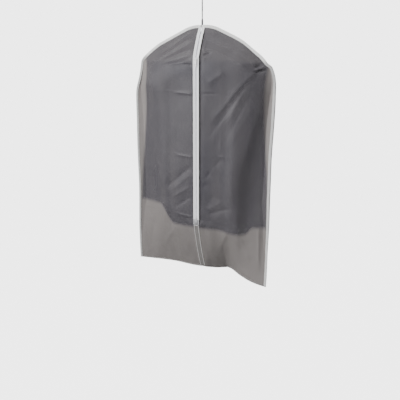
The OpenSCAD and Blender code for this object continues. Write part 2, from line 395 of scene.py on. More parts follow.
def woven_paint(name, light, dark, rib, turn=0.0):
    """Woven tape: ribs one way, finer threads the other way, and painted shade in the hollows.

    The point value "grey" is the share of its tone that it loses to painted shade, where it turns away from
    the light and shows its edge.
    """
    paint = Paint(name, roughness=0.82, specular=0.25, sheen=0.25)
    ribs = paint.wave(rib, "X", (0, turn, 0), 0.4)
    threads = paint.wave(rib * 0.7, "Z", (0, turn, 0), 0.4)
    weave = paint.math("MULTIPLY", ribs, threads)
    soil = paint.ramp(paint.noise(30, 5, roughness=0.6), 0.35, 0.75)
    # Painted shade: darker in the hollows of the weave.
    grain = paint.mix(paint.ramp(weave, 0.0, 0.5), dark, light)
    soiled = paint.mix(paint.math("MULTIPLY", soil, 0.35), grain, dark)
    shaded_tone = tuple(TAPE_SHADE_TONE * c for c in light)
    paint.colour(paint.mix(paint.attribute("grey"), soiled, shaded_tone))
    paint.vary("Roughness", soil, 0.76, 0.9)
    paint.bump(weave, 0.14 * MM, 0.9)
    paint.bump(paint.noise(900, 3), 0.08 * MM, 0.5)
    paint.bump(paint.noise(120, 3), 0.35 * MM, 0.5)
    return paint.material


def hard_paint(name, light, dark, roughness, metallic=0.0, grain=0.25, stretch=(1, 1, 1), coat=0.0):
    """Moulded, painted or drawn surface with fine grain and slight wear."""
    paint = Paint(name, roughness=roughness, metallic=metallic, coat=coat)
    worn = paint.ramp(paint.noise(70, 5, stretch, 0.65), 0.4, 0.7)
    paint.colour(paint.mix(worn, light, dark))
    paint.vary("Roughness", worn, roughness * 0.85, min(1.0, roughness * 1.35))
    paint.bump(paint.noise(900, 3, stretch), grain * 0.2 * MM, 0.5)
    paint.bump(paint.noise(200, 2, stretch), grain * 0.15 * MM, 0.4)
    return paint.material


# The film's dark tone is painted shade, and its light and seam tones are painted light shining through it.
FILM = film_paint("film", (0.178, 0.163, 0.158), (0.046, 0.043, 0.053), 0.76)
FOLDED_FILM = film_paint("folded_film", (0.24, 0.23, 0.22), (0.19, 0.18, 0.175), 0.66)
WELD = hard_paint("weld_lines", (0.52, 0.51, 0.50), (0.44, 0.43, 0.42), 0.35)
BINDING = woven_paint("binding", (0.80, 0.80, 0.79), (0.62, 0.62, 0.61), 0.9 * MM)
FACING = woven_paint("zip_facing", (0.88, 0.88, 0.88), (0.76, 0.76, 0.76), 0.7 * MM, math.radians(45))
TAPE = woven_paint("zip_tape", (0.88, 0.88, 0.92), (0.76, 0.76, 0.80), 0.6 * MM, math.radians(45))
THREAD = woven_paint("thread", (0.86, 0.86, 0.85), (0.70, 0.70, 0.69), 0.3 * MM)
COIL = hard_paint("zip_coil", (0.90, 0.90, 0.94), (0.82, 0.82, 0.86), 0.38)
SLIDER = hard_paint("slider_paint", (0.78, 0.78, 0.78), (0.66, 0.66, 0.65), 0.3, coat=0.4)
STOP = hard_paint("stop_metal", (0.70, 0.70, 0.69), (0.52, 0.52, 0.51), 0.35, metallic=0.6)
HANGER = hard_paint("hanger_plastic", (0.44, 0.44, 0.45), (0.36, 0.36, 0.37), 0.5, grain=1.0)
STEEL = hard_paint("wire_steel", (0.045, 0.045, 0.048), (0.025, 0.025, 0.027), 0.35, 1.0, 0.4, (1, 1, 0.05))
SLEEVE = hard_paint("sleeve_plastic", (0.035, 0.035, 0.037), (0.022, 0.022, 0.023), 0.55, grain=1.0)
PATCH = hard_paint("patch_plastic", (0.27, 0.27, 0.28), (0.22, 0.22, 0.23), 0.45, grain=1.0)
RIM = hard_paint("patch_rim", (0.46, 0.46, 0.47), (0.38, 0.38, 0.39), 0.45, grain=1.0)

# ---- shape of the bag ----

# A place that is a pair of numbers is the start and end of a step, or the middle and half width of a hump.

# How the film fills out from its seams.
SIDE_RAMP = 108 * MM  # length of the rise from a side seam, beside the hanger
LOW_SIDE_RAMP = 165 * MM  # and below it, where the film hangs slack
SLACK_DROPS = (0.22, 0.42)
SIDE_X = (0.12, 0.24)  # from the top seam's rise to the side seam's
ROUNDER = 1.35  # how much longer the round rise is than the CAD's
TENT = 0.13  # slope of the front film away from the zip
TENT_REACH = 110 * MM  # and how far from the band it goes
TENT_TOP = (0.12, 0.32)
TENT_END = (0.65, 0.95)
STIFF_W = 30 * MM  # how far from the band the front film comes free of it
SMOOTH_W = 8 * MM  # and how far it has no folds
GUTTER_LEFT = 1.5 * MM  # depth of the film's step beside the band
GUTTER_RIGHT = 6 * MM
WALL_LEFT = 1.2 * MM  # and width of that step
WALL_RIGHT = 4 * MM
GUTTER_FADE = 30 * MM  # length over which the film comes up from it again
GUTTER_END = (ZIP_END, ZIP_END + 20 * MM)
HELD_W = 30 * MM  # how far from a seam the folds come in
HELD_H = 40 * MM  # and from the hem
BACK_SINK = 3 * MM  # how far the back film lies inside its CAD shape

# The hem from left to right (x, y): it swings back to a sharp kink, and then forward to the right corner.
HEM_SWING = [
    (-0.300, 0.005), (-0.150, 0.020), (0.000, 0.010), (0.050, 0.026), (0.090, 0.037), (0.104, 0.041),
    (0.115, 0.036), (0.185, -0.024), (0.260, -0.058), (0.300, -0.066),
]
CORNER_DROP = 14 * MM  # how far the hem's right corner hangs down
CORNER_X = (0.19, 0.30)
MIDDLE_DROP = 5 * MM  # and the hem just right of the middle
MIDDLE_X = (0.055, 0.035)
HANG_TOP = 0.50  # drop where they start
SWING_TOP = 0.56  # drop where the films start to swing; the zip stays straight down to its end
SWING_X = (0.02, 0.15)  # from the zip's start of the swing to the sides'
SWING_POWER = 1.5  # how late the swing comes,
KINK_POWER = 2.2  # and how much later above its kink
KINK_X = (0.09, 0.07)


def hem_rise(x):
    """How far the hem is above its flat cut."""
    return -CORNER_DROP * step(x, *CORNER_X) - MIDDLE_DROP * hump(x, *MIDDLE_X)


def hem_share(drop):
    """Share of the hem's rise that the film takes part in, from 0 at HANG_TOP to 1 at the hem."""
    return np.clip((drop - HANG_TOP) / (1 - HANG_TOP), 0, 1) ** 2


def top_edge(x):
    """Drop of the outline's top edge at x."""
    x = np.abs(x)
    in_crown = np.clip(x - CROWN_HALF, 0, CROWN_R)
    crown = CROWN_R - np.sqrt(CROWN_R**2 - in_crown**2)
    slope = crown_drop + (x - crown_x) * math.tan(SLOPE)
    in_shoulder = np.clip(x - shoulder_x, 0, SHOULDER_R)
    shoulder = shoulder_drop - np.sqrt(SHOULDER_R**2 - in_shoulder**2)
    return np.where(x < crown_x, crown, np.where(x < slope_end_x, slope, shoulder))


def edge_distance(x, drop):
    """Distance inside the outline's top and side edges."""
    x = np.abs(x)
    crown_turn = np.arctan2(x - CROWN_HALF, CROWN_R - drop)
    shoulder_turn = np.arctan2(x - shoulder_x, shoulder_drop - drop)
    slope = (drop - crown_drop - (x - crown_x) * math.tan(SLOPE)) * math.cos(SLOPE)
    nearest = np.minimum(np.minimum(drop, HALF_W - x), slope)
    in_crown = (drop < CROWN_R) & (crown_turn > 0) & (crown_turn < SLOPE)
    in_shoulder = (drop < shoulder_drop) & (shoulder_turn > SLOPE) & (shoulder_turn < math.pi / 2)
    crown = CROWN_R - np.hypot(x - CROWN_HALF, CROWN_R - drop)
    shoulder = SHOULDER_R - np.hypot(x - shoulder_x, shoulder_drop - drop)
    nearest = np.where(in_crown, np.minimum(nearest, crown), nearest)
    return np.where(in_shoulder, np.minimum(nearest, shoulder), nearest)


def rise(t):
    """The CAD's ramp, which ends in a bend."""
    t = np.clip(t, 0, 1)
    return t * (1.25 - 0.25 * t)


def round_rise(t):
    """A rounder ramp close to the CAD's, for slack film, when it is ROUNDER times as long."""
    return np.sin(np.clip(t / ROUNDER, 0, 1) * math.pi / 2)


def bulge(x, drop, ramp=round_rise):
    """Share of its full depth that the film has, from 0 at the seams to 1."""
    side_ramp = SIDE_RAMP + (LOW_SIDE_RAMP - SIDE_RAMP) * step(drop, *SLACK_DROPS)
    width = TOP_RAMP + (side_ramp - TOP_RAMP) * step(np.abs(x), *SIDE_X)
    from_edge = ramp((edge_distance(x, drop) - SEAM_MARGIN) / width)
    return from_edge * ramp((HEIGHT - HEM_H - drop) / BOTTOM_RAMP)


def swing(x, drop):
    """How far both films move back with the hem's swing."""
    below_zip = ZIP_END + 10 * MM
    start = below_zip + (SWING_TOP - below_zip) * step(np.abs(x), *SWING_X)
    power = SWING_POWER + KINK_POWER * hump(x, *KINK_X)
    grown = np.clip((drop - start) / (HEIGHT - start), 0, 1) ** power
    return (curve_through(HEM_SWING, x) - SEAM_Y) * grown


# How the seams hang off the flat cut. Each side stands out in a corner at the hanger's tip.
TIP_CORNER = 10 * MM
TIP_LEFT = (0.125, 0.026)
TIP_RIGHT = (0.138, 0.156)
TIP_RIGHT_END = (0.156, 0.266)
PINCH = 9 * MM  # the left side's pinch under that corner
PINCH_DROP = (0.198, 0.045)
WAIST = 7 * MM  # the right side's soft waist
WAIST_TOP = (0.25, 0.55)
WAIST_END = (0.65, 0.85)
FOOT_LEFT = 6 * MM  # how far the left side stands out at the hem
FOOT_LEFT_DROPS = (0.62, 0.87)
FOOT_RIGHT = 8 * MM
FOOT_RIGHT_DROPS = (0.8, 1.0)
SPREAD_X = (0.12, 0.20)  # nothing is spread nearer the middle
SPREAD_REACH = 60 * MM  # how far into the film a side's spread fades
SEAM_WAVER = 1.2 * MM  # slight waver of the side seams
WAVER_DROPS = (0.3, 0.5)
SHOULDER_SAG = 11 * MM  # the right shoulder has slipped down
SAG_X = (0.213, 0.042)
SAG_REACH = 100 * MM


def spread_left(drop):
    corner = TIP_CORNER * hump(drop, *TIP_LEFT)
    return corner - PINCH * hump(drop, *PINCH_DROP) + FOOT_LEFT * step(drop, *FOOT_LEFT_DROPS)


def spread_right(drop):
    corner = TIP_CORNER * step(drop, *TIP_RIGHT) * (1 - step(drop, *TIP_RIGHT_END))
    waist = WAIST * step(drop, *WAIST_TOP) * (1 - step(drop, *WAIST_END))
    return corner - waist + FOOT_RIGHT * step(drop, *FOOT_RIGHT_DROPS)


def settle(x, drop):
    """Place (x, z) of a point of the flat cut once hung: the hem's rise and the seams' slips."""
    inside = np.maximum(edge_distance(x, drop), 0)
    at_seam = np.exp(-inside / SPREAD_REACH)
    out = np.where(x < 0, spread_left(drop), spread_right(drop)) * step(np.abs(x), *SPREAD_X)
    waver = SEAM_WAVER * np.sin(drop * 13 + x * 4) * step(drop, *WAVER_DROPS)
    sag = SHOULDER_SAG * hump(x, *SAG_X) * np.exp(-inside / SAG_REACH)
    z = TOP - drop - sag + hem_rise(x) * hem_share(drop)
    return x + np.sign(x) * (out - waver) * at_seam, z


def crease(x, drop, start, end, width, height, lean=1.0):
    """A sharp ridge (or, with a negative height, a valley) between two points of the cut, in mm.

    lean is how much wider the ridge's upper side is than its lower side.
    """
    (x0, d0), (x1, d1) = np.array(start) * MM, np.array(end) * MM
    run = np.array([x1 - x0, d1 - d0])
    length = np.hypot(*run)
    along = ((x - x0) * run[0] + (drop - d0) * run[1]) / length**2
    off = ((drop - d0) * run[0] - (x - x0) * run[1]) * np.where(run[0] < 0, -1, 1) / length
    off = off / (width * MM) / np.where(off < 0, lean, 1 / lean)
    taper = smooth(along / 0.2 + 0.1) * smooth((1 - along) / 0.35)
    past = np.maximum(np.maximum(-along, along - 1), 0) * length / (width * MM)
    return height * MM * np.exp(1.1 * (0.25 - np.sqrt(off**2 + 0.0625))) * taper * np.exp(-(past**2))


# Fans of creases, in mm on the flat cut as (x, drop). Their starts are spread evenly between the first two
# points, and their ends between the next two. Then come their number, their width, the height of the first
# (a valley where it is negative), how high each is next to the one before, and their lean.
FRONT_FANS = [
    # pulled from the right shoulder down to the zip
    ((240, 150), (225, 190), (40, 395), (35, 450), 2, 11, 3.5, -0.6, 1.8),
    ((220, 185), (230, 290), (110, 400), (125, 480), 3, 12, 2, -0.75, 1.3),
    ((265, 133), (262, 165), (215, 156), (215, 170), 3, 5, -11, -0.8, 1.0),
    ((240, 130), (45, 220), (150, 150), (120, 170), 2, 14, 4, 0.8, 1.0),
    # pulled from the crown down to the left shoulder
    ((-35, 20), (-20, 135), (-180, 120), (-150, 150), 6, 10, -4.5, -0.95, 1.3),
    ((-268, 114), (-262, 130), (-222, 126), (-236, 136), 2, 4, -11, -0.3, 1.0),
    ((-240, 140), (-240, 140), (-235, 260), (-235, 260), 1, 22, 5, 1.0, 1.0),
    # puckers just right of the zip, and a soft ridge down to the right shoulder
    ((25, 25), (45, 30), (25, 105), (35, 100), 2, 7, 4, -0.5, 1.0),
    ((25, 115), (25, 125), (60, 105), (65, 115), 2, 5, -4, -0.5, 1.0),
    ((30, 30), (30, 30), (150, 110), (150, 110), 1, 18, 3, 1.0, 1.5),
    # slack film between the zip and the left side
    ((-15, 540), (-20, 575), (-155, 660), (-135, 675), 2, 14, -4, -0.6, 1.2),
    ((-25, 630), (-20, 670), (-120, 690), (-110, 735), 2, 11, 3, -1.0, 1.2),
    # and between the zip and the right side
    ((105, 505), (60, 560), (30, 605), (25, 650), 3, 10, -2.5, -1.1, 1.0),
    ((40, 710), (50, 740), (85, 645), (155, 705), 3, 9, -1.5, -1.3, 1.0),
    # long soft falls down to the hem
    ((140, 790), (185, 820), (80, 925), (235, 930), 2, 18, 4, 0.8, 1.0),
    ((-95, 800), (-215, 800), (-185, 930), (-255, 960), 2, 18, 3, -1.0, 1.0),
    ((278, 760), (258, 770), (290, 970), (270, 960), 2, 7, -5, -0.6, 1.0),
]
BACK_FANS = [
    # the same pulls on each side, for x from the middle outwards
    ((230, 140), (210, 190), (60, 380), (90, 420), 2, 15, 9, -0.8, 1.3),
    ((10, 35), (10, 70), (150, 110), (150, 130), 2, 10, 6, -0.8, 1.2),
    ((150, 500), (150, 500), (60, 640), (60, 640), 1, 13, 6, 1.0, 1.3),
    ((70, 730), (70, 730), (185, 870), (185, 870), 1, 12, 6, 1.0, 1.0),
]
GARMENT_LEFT = 0.708  # drop of the lower edge of the garment's painted shade at the left,
GARMENT_MIDDLE = 0.790  # in the middle,
GARMENT_DIP = 0.011  # with a dip right of the middle,
GARMENT_RIGHT = 0.764  # and at the right; the film is painted lighter below it, as light shining through both films
LEFT_STEP_X = (-0.18, -0.11)
DIP_X = (0.155, 0.045)
RIGHT_STEP_X = (0.205, 0.235)
GARMENT_SOFT = 26 * MM  # how blurred that edge is
CROWN_END = 0.142  # above this drop the film clears the garment, and is painted a little lighter, as light shining through it
CROWN_SOFT = 15 * MM
# The strip of painted light along each side seam, where light shines through both films: its width at the
# top, how much narrower it gets, and over which drops.
PALE_LEFT = (0.072, 0.050, 0.15, 0.75)
PALE_RIGHT = (0.048, 0.030, 0.30, 0.72)
PALE_TOP = (0.113, 0.133)
PALE_SOFT = 20 * MM
# Shares of pale tone, painted light and painted shade, as film_paint reads them.
PALE_BESIDE = 0.64
PALE_BELOW = 0.5
PALE_CROWN = 0.06
PALE_MIDDLE = 0.06
# Painted shade, where the film is painted darkest as the garment's shade behind it: x, drop, half width and
# half height in mm, and share.
SHADES = [
    (48, 175, 60, 70, 1.0), (-70, 166, 90, 30, 1.0), (38, 560, 30, 170, 0.9), (118, 520, 26, 120, 0.8),
    (-30, 640, 50, 90, 0.6), (60, 40, 60, 30, 0.7),
]
# Where the bag was folded for its packet, in mm: to each side of the middle, and down from the top.
PACKING_FOLD_X = 100
PACKING_FOLD_DROPS = (250, 500, 750)
PACKING_W = 2.6 * MM
# Slack waves: height in mm, cycles per metre, stretch down the bag, and place in the noise.
SLACK_WAVES = ((5.0, 11, 0.35, 0), (2.0, 26, 0.5, 3), (0.4, 48, 0.7, 7))
SLACK_TOP = 0.42  # how high the waves are at the top,
SLACK_GROWTH = 0.70  # and how much higher at the hem
GROWTH_DROPS = (0.35, 0.85)
# A long fold down the right side, which turns back sharply to its right.
LONG_FOLD_H = 12 * MM
LONG_FOLD_X = 0.250  # at its top,
LONG_FOLD_RUN = 0.080  # and how far left it goes
LONG_FOLD_BEND = (0.20, 0.65)
LONG_FOLD_TOP = (0.17, 0.35)
LONG_FOLD_END = (0.79, 0.99)
LONG_FOLD_LEFT = 60 * MM  # width of its left side,
LONG_FOLD_RIGHT = 26 * MM  # and of its right side


def fan(x, drop, start, last_start, end, last_end, count, width, height, ratio, lean):
    """Relief of a fan of creases, laid out as FRONT_FANS says."""
    relief = 0
    for i in range(count):
        share = i / max(count - 1, 1)
        head = np.array(start) * (1 - share) + np.array(last_start) * share
        foot = np.array(end) * (1 - share) + np.array(last_end) * share
        relief = relief + crease(x, drop, head, foot, width, height * ratio**i, lean)
    return relief


def garment_shade_edge(x):
    """Drop of the lower edge of the garment's painted shade, which steps down towards the middle."""
    left = (GARMENT_MIDDLE - GARMENT_LEFT) * step(x, *LEFT_STEP_X)
    right = (GARMENT_MIDDLE - GARMENT_RIGHT) * step(x, *RIGHT_STEP_X)
    return GARMENT_LEFT + left + GARMENT_DIP * hump(x, *DIP_X) - right


def pale_width(drop, width, loss, start, end):
    return width - loss * step(drop, start, end)


def pale_share(x, drop):
    """How much painted light and painted shade the film gets at each place, as film_paint reads it."""
    width = np.where(x < 0, pale_width(drop, *PALE_LEFT), pale_width(drop, *PALE_RIGHT))
    beside = step(np.abs(x) - HALF_W + width, 0, PALE_SOFT) * step(drop, *PALE_TOP)
    below = step(drop - garment_shade_edge(x), 0, GARMENT_SOFT)
    crown = step(CROWN_END - drop, 0, CROWN_SOFT)
    shade = sum(
        share * np.exp(-(((x / MM - at_x) / wide) ** 2) - ((drop / MM - at_drop) / high) ** 2)
        for at_x, at_drop, wide, high, share in SHADES
    )
    middle = PALE_MIDDLE * (1 - np.clip(shade, 0, 1)) + PALE_CROWN * crown
    return np.maximum(np.maximum(PALE_BESIDE * beside, PALE_BELOW * below), middle)


def packing(x, drop):
    """Low, straight creases where the bag was folded for its packet."""
    down = 0.6 * MM * np.exp(-np.abs(np.abs(x) - PACKING_FOLD_X * MM) / PACKING_W)
    across = sum(0.5 * MM * np.exp(-np.abs(drop - fold * MM) / PACKING_W) for fold in PACKING_FOLD_DROPS)
    return down * step(drop, 0.12, 0.22) + across


def sharp_packing(x, drop):
    """The sharper ends of those creases on the front: beside the zip, and where two of them cross."""
    first, second, _ = PACKING_FOLD_DROPS
    side = PACKING_FOLD_X
    folds = [((-14, fold + 8), (-105, fold + 2), 3, 3, 0.6) for fold in PACKING_FOLD_DROPS]
    folds += [
        ((-14, 150), (-60, 145), 3, -2),
        ((18, first + 8), (side, first + 6), 3, -1.5),
        ((side, second - 65), (side, second - 15), 2, 2),
        ((side - 8, second), (side + 20, second), 2, 2),
    ]
    return sum(crease(x, drop, *fold) for fold in folds)


def slack(x, drop, seed):
    """Soft uneven waves of a thin film, larger towards the hem, and fine crumpling."""
    points = np.stack([x.ravel(), np.full(x.size, seed), drop.ravel()], axis=1)
    waves = sum(
        height * MM * noise_at(points * (1, 1, stretch), scale, seed + place)
        for height, scale, stretch, place in SLACK_WAVES
    )
    return waves.reshape(x.shape) * (SLACK_TOP + SLACK_GROWTH * step(drop, *GROWTH_DROPS))


def long_fold(x, drop):
    off = x - LONG_FOLD_X + LONG_FOLD_RUN * step(drop, *LONG_FOLD_BEND)
    off = off / np.where(off > 0, LONG_FOLD_RIGHT, LONG_FOLD_LEFT)
    grown = step(drop, *LONG_FOLD_TOP) * (1 - step(drop, *LONG_FOLD_END))
    return LONG_FOLD_H * np.exp(-(off**2)) * grown


def front_relief(x, drop):
    relief = sum(fan(x, drop, *folds) for folds in FRONT_FANS) + long_fold(x, drop)
    return relief + packing(x, drop) + sharp_packing(x, drop) + slack(x, drop, 2.0)


def back_relief(x, drop):
    relief = sum(fan(side * x, drop, *folds) for folds in BACK_FANS for side in (-1, 1))
    return relief + packing(x, drop) + slack(x, drop, 9.0)


def zip_line_y(drop):
    """Depth of the front film's outer face along the middle of the front."""
    drop = np.asarray(drop, float)
    zero = np.zeros_like(drop)
    return SEAM_Y - FILM_T - (FRONT_DEPTH - FILM_T) * bulge(zero, drop, rise) + swing(zero, drop)


def looseness(x, drop):
    """0 in the seams, which hold the film flat, and 1 away from them."""
    from_seam = step(edge_distance(x, drop) - BINDING_W, 0, HELD_W)
    return from_seam * step(HEIGHT - HEM_H - drop, 0, HELD_H)


def front_y(x, drop):
    """Depth of the front film: stiff beside the zip, slack away from it, flat in the seams."""
    beside = np.maximum(np.abs(x) - BAND_HALF, 0)
    free = step(beside, 0, STIFF_W)
    loose = looseness(x, drop)
    full = SEAM_Y - FILM_T - (FRONT_DEPTH - FILM_T) * bulge(x, drop) + swing(x, drop)
    relief = front_relief(x, drop) * loose * step(beside, 0, SMOOTH_W)
    tent = TENT * np.minimum(beside, TENT_REACH) * step(drop, *TENT_TOP) * (1 - step(drop, *TENT_END))
    wall = step(beside, 0, np.where(x > 0, WALL_RIGHT, WALL_LEFT))
    gutter = np.where(x > 0, GUTTER_RIGHT, GUTTER_LEFT) * wall * np.exp(-beside / GUTTER_FADE)
    gutter = gutter * (1 - step(drop, *GUTTER_END)) * loose
    return zip_line_y(drop) * (1 - free) + full * free - relief + gutter + tent


def back_y(x, drop):
    full = SEAM_Y + FILM_T + (BACK_DEPTH - FILM_T) * bulge(x, drop) + swing(x, drop)
    return full + (back_relief(x, drop) - BACK_SINK) * looseness(x, drop)


def film(name, columns, y_at, rows, slot=None):
    """A film panel whose columns hang straight down, with an open slot of that half width and drop.

    Its rows follow the top edge, and are a little closer together there.
    """
    top = top_edge(columns)
    v = np.linspace(0, 1, rows) ** 1.15
    drop = top[None] + (HEIGHT - top[None]) * v[:, None]
    x = np.repeat(columns[None], rows, axis=0)
    hung_x, z = settle(x, drop)
    points = np.stack([hung_x, y_at(x, drop), z], axis=-1)
    m = len(columns)
    faces = []
    for i in range(rows - 1):
        for j in range(m - 1):
            if slot and abs(columns[j] + columns[j + 1]) / 2 < slot[0] and drop[i, j] < slot[1]:
                continue
            faces.append((i * m + j, i * m + j + 1, (i + 1) * m + j + 1, (i + 1) * m + j))
    obj = mesh_object(name, points.reshape(-1, 3), faces)
    # Painted light and painted shade of the film.
    point_value(obj, "pale", pale_share(x, drop).ravel())
    if slot:
        edit = bmesh.new()
        edit.from_mesh(obj.data)
        bmesh.ops.delete(edit, geom=[v for v in edit.verts if not v.link_faces], context="VERTS")
        edit.to_mesh(obj.data)
        edit.free()
    thicken(obj, FILM_T)
    return obj


def spread(start, end, count):
    """Columns from start to end, closer together at the end, where the shoulder turns down."""
    t = np.linspace(0, 1, count)
    return start + (end - start) * (1 - (1 - t) ** 1.5)


FRONT_ROWS = 380
BACK_ROWS = 230
SLOT_HALF = 7 * MM  # the back's slot for the hook
SLOT_DROP = 26 * MM
# Columns close together in the band's gutter, and then evener ones out to the side seam.
beside_band = BAND_HALF + np.array([-2.7, -0.6, 0.0, 0.5, 1.0, 1.6, 2.4, 3.4, 4.6, 6.0]) * MM
right_columns = np.concatenate([beside_band, spread(BAND_HALF + 8 * MM, HALF_W, 104)])
half_back = spread(0, HALF_W, 74)
back_columns = np.concatenate([-half_back[:0:-1], half_back])

front_right = film("front_film_right", right_columns, front_y, FRONT_ROWS)
front_left = film("front_film_left", -right_columns[::-1], front_y, FRONT_ROWS)
back = film("back_film", back_columns, back_y, BACK_ROWS, slot=(SLOT_HALF, SLOT_DROP))
piece(front_right, FILM, ["front_panel_right"])
piece(front_left, FILM, ["front_panel_left"])
piece(back, FILM, ["back_panel"])

# ---- edge binding and hem ----

BINDING_T = 1.0 * MM  # half the binding's thickness
BINDING_WAVER = 0.5 * MM
BINDING_PUCKER = 0.22 * MM
BINDING_NARROWING = 0.13  # how much narrower it is down the sides, where its fold turns back
NARROWING_DROPS = (0.12, 0.17)
TAPE_SHADE_LEFT = 0.8  # how much of its tone is lost to painted shade there, where it turns away and shows its edge
TAPE_SHADE_LEFT_DROPS = (0.095, 0.125)
TAPE_SHADE_RIGHT = 0.75
TAPE_SHADE_RIGHT_DROPS = (0.125, 0.145)
TAPE_SHADE_LESS = 0.3  # and how much less lower down the right side
TAPE_SHADE_LESS_DROPS = (0.2, 0.3)
OUTER_ROW = 3.4 * MM  # the stitch rows' distances from the seam's edge
INNER_ROW = 8.6 * MM
BINDING_STITCH = (4.2 * MM, 3.2 * MM, 0.32 * MM)  # pitch, length and radius
HEM_T = 0.45 * MM  # half the hem's thickness
HEM_WELD = (2.4 * MM, 1.7 * MM, 0.28 * MM)


def seam_line(side):
    """The outline from the crown to the bottom corner, as the seam hangs."""
    top_x = spread(1.5 * MM, HALF_W, 400)
    x = np.concatenate([top_x, np.full(200, HALF_W)]) * side
    drop = np.concatenate([top_edge(top_x), np.linspace(top_edge(HALF_W), HEIGHT, 201)[1:]])
    y = SEAM_Y + swing(x, drop)
    hung_x, z = settle(x, drop)
    return resample(np.stack([hung_x, y, z], axis=1), 3 * MM)


def inward_of(line, side):
    ahead = tangents(line)
    return unit(np.cross(ahead, [0, 1, 0])) * -side


# Painted shade down the sides of the binding, where the tape turns away from the light.
def binding_painted_shade(side, drop):
    if side < 0:
        return TAPE_SHADE_LEFT * step(drop, *TAPE_SHADE_LEFT_DROPS)
    return (TAPE_SHADE_RIGHT - TAPE_SHADE_LESS * step(drop, *TAPE_SHADE_LESS_DROPS)) * step(drop, *TAPE_SHADE_RIGHT_DROPS)


def binding(side, name):
    line = seam_line(side)
    inward = inward_of(line, side)
    depth = repeated((0.0, 1.0, 0.0), line)
    pucker = noise_at(line, 95, 4.0 + side)
    rolled = noise_at(line, 40, 8.0 + side)
    tucked = 1 - BINDING_NARROWING * step(TOP - line[:, 2], *NARROWING_DROPS)
    sections = []
    for p, r, share in zip(pucker, rolled, tucked):
        w = BINDING_W * share + BINDING_WAVER * r
        t = BINDING_T + BINDING_PUCKER * p
        front = [(w, -t * 0.7), (w * 0.82, -t * 0.95), (w * 0.45, -t * 1.25), (w * 0.12, -t * 1.15)]
        edge = [(-0.3 * MM, -t * 0.7), (-0.6 * MM, 0), (-0.3 * MM, t * 0.7)]
        sections.append(front + edge + [(a, -b) for a, b in front[::-1]])
    bar = sweep(name, line, inward, depth, sections)
    # Painted shade down the sides, where the tape turns away from the light.
    point_value(bar, "grey", binding_painted_shade(side, TOP - np.repeat(line[:, 2], len(sections[0]))))
    rows = []
    for face, inset, lift in ((-1, INNER_ROW, 1.12), (-1, OUTER_ROW, 1.3), (1, INNER_ROW, 1.12)):
        row = line + inward * inset + depth * face * lift * MM
        rows.append(stitch_row(row, depth * face, *BINDING_STITCH))
    return bar, joined(name + "_stitches", rows)


for side, word in SIDES:
    bar, threads = binding(side, f"edge_binding_tape_{word}")
    piece(bar, BINDING, [f"edge_binding_{word}"])
    piece(threads, THREAD)


def hem_line(lift):
    """Line from binding to binding, lift above the hem's edge."""
    x = np.linspace(-HALF_W + BINDING_W, HALF_W - BINDING_W, 320)
    drop = np.full_like(x, HEIGHT - lift)
    hung_x, z = settle(x, drop)
    return np.stack([hung_x, SEAM_Y + swing(x, drop), z], axis=1)


def hem():
    line = hem_line(0)
    up = repeated((0.0, 0.0, 1.0), line)
    depth = unit(np.cross(tangents(line), up))
    heights = HEM_H + 0.6 * MM * noise_at(line, 70, 1.0)
    sections = [flat_section(-0.4 * MM, height, -HEM_T, HEM_T, 0.25 * MM) for height in heights]
    folded = sweep("hem_fold", line, up, depth, sections)
    lines = []
    for face in (-1, 1):
        for height in (HEM_H * 0.45, HEM_H * 0.86):
            row = hem_line(height) + depth * face * 0.72 * MM
            lines.append(stitch_row(row, depth * face, *HEM_WELD))
    return folded, joined("hem_weld_marks", lines)


folded, marks = hem()
piece(folded, FOLDED_FILM, ["bottom_hem"])
point_value(folded, "pale", 0.25)
piece(marks, WELD)

# ---- zip ----

TAPE_T = 0.5 * MM
TAPE_HALF = 12 * MM
TAPE_GAP = 1.2 * MM  # from the middle to each tape's inner edge
FACING_W = 5.5 * MM
FACING_OUT = 0.95 * MM  # the facing's outer side, in front of the film
FACING_SWELL = 0.45 * MM
FACING_WAVER = 0.25 * MM
COIL_X = 1.85 * MM
COIL_REACH = 1.3 * MM
COIL_DEPTH = 0.85 * MM
COIL_WIRE = 0.27 * MM
COIL_PITCH = 1.7 * MM
COIL_TURN = 10  # points in a turn
COIL_START = 12 * MM
COIL_END = ZIP_END - 4 * MM
ZIP_STITCH = (3.4 * MM, 2.6 * MM, 0.26 * MM)


def zip_line(start, end, lift=0.0, x=0.0):
    """Line down the middle of the front, lift in front of the film, with its outward directions."""
    drop = np.linspace(start, end, int((end - start) / (2 * MM)) + 2)
    z = TOP - drop + hem_rise(0.0) * hem_share(drop)
    line = np.stack([np.zeros_like(drop), zip_line_y(drop), z], axis=1)
    out = unit(np.cross(tangents(line), [1.0, 0, 0]))
    return line + out * lift + [x, 0, 0], out


def zip_strip(name, x0, x1, start, end, back_lift, front_lift, crown=0.0, ripple=0.0):
    """A strip down the front from x0 to x1. Its front face swells by crown, and its edges waver by ripple."""
    line, out = zip_line(start, end)
    across = repeated((1.0, 0.0, 0.0), line)
    waver = noise_at(line, 60, x0 * 900) * ripple
    sections = [flat_section(x0 + w, x1 + w * 0.6, back_lift, front_lift, crown) for w in waver]
    return sweep(name, line, across, out, sections)


